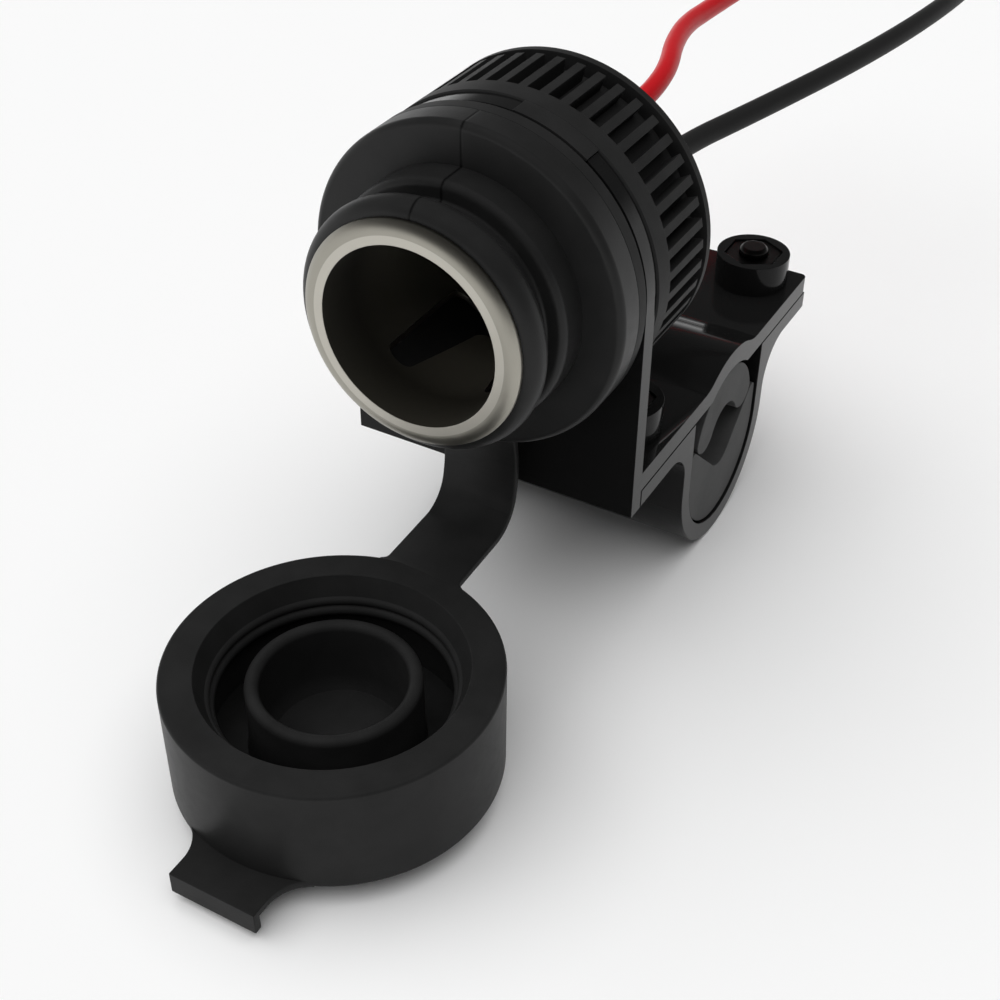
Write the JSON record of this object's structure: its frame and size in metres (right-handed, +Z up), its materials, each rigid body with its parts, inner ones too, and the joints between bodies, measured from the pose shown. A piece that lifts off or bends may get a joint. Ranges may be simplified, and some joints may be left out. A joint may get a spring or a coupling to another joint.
{
  "type": "car 12v power socket",
  "caption": "Round 12 V accessory socket with a tethered rubber cap, held by a slotted ring nut in a bracket with a padded bar clamp, with a red and a black lead.",
  "frame": {"origin": "on the axis of the clamped bar, midway along the clamp", "axes": "+X along the bar, +Y from the socket's mouth to its rear, +Z up through the bracket to the socket"},
  "size_m": [0.0439, 0.2074, 0.0687],
  "materials": {
    "nickel": "satin nickel plating",
    "brass": "satin",
    "black_steel": "blackened, satin",
    "tinned_wire": "tinned copper strands",
    "washer": "matt phenolic board",
    "sleeve": "shrunk sleeving",
    "black_plastic": "fine satin, moulded",
    "gloss_black_plastic": "smooth, polished mould",
    "black_rubber": "satin",
    "pad_rubber": "matt",
    "red_insulation": "glossy",
    "black_insulation": "satin"
  },
  "bodies": {
    "socket": {"contact_barrel": "nickel", "base_insulator": "washer", "centre_contact": "brass", "positive_terminal": "brass", "negative_terminal": "brass", "positive_sleeve": "sleeve", "negative_sleeve": "sleeve", "socket_housing": "black_plastic", "rubber_boot": "black_rubber", "gasket": "black_rubber", "ring_nut": "black_plastic", "bracket": "gloss_black_plastic", "clamp_lower": "gloss_black_plastic", "upper_pad": "pad_rubber", "lower_pad": "pad_rubber", "red_lead": "red_insulation", "black_lead": "black_insulation", "red_lead_tip": "tinned_wire", "black_lead_tip": "tinned_wire", "clamp_screw_front_left": "black_steel", "clamp_nut_front_left": "black_steel", "clamp_screw_front_right": "black_steel", "clamp_nut_front_right": "black_steel", "clamp_screw_rear_left": "black_steel", "clamp_nut_rear_left": "black_steel", "clamp_screw_rear_right": "black_steel", "clamp_nut_rear_right": "black_steel"},
    "tether": {"cap_strap": "black_rubber"},
    "cap": {"cap": "black_rubber"}
  },
  "joints": [
    {"name": "cap_swing", "type": "hinge", "parent": "socket", "child": "tether", "pos_m": [0, -0.04007, 0.0104], "axis": [1, 0, 0], "range_deg": [-90, 0], "deforming": ["cap_strap"]},
    {"name": "cap_push", "type": "slide", "parent": "tether", "child": "cap", "axis": [0, 0, -1], "range_m": [-0.0109, 0]}
  ]
}
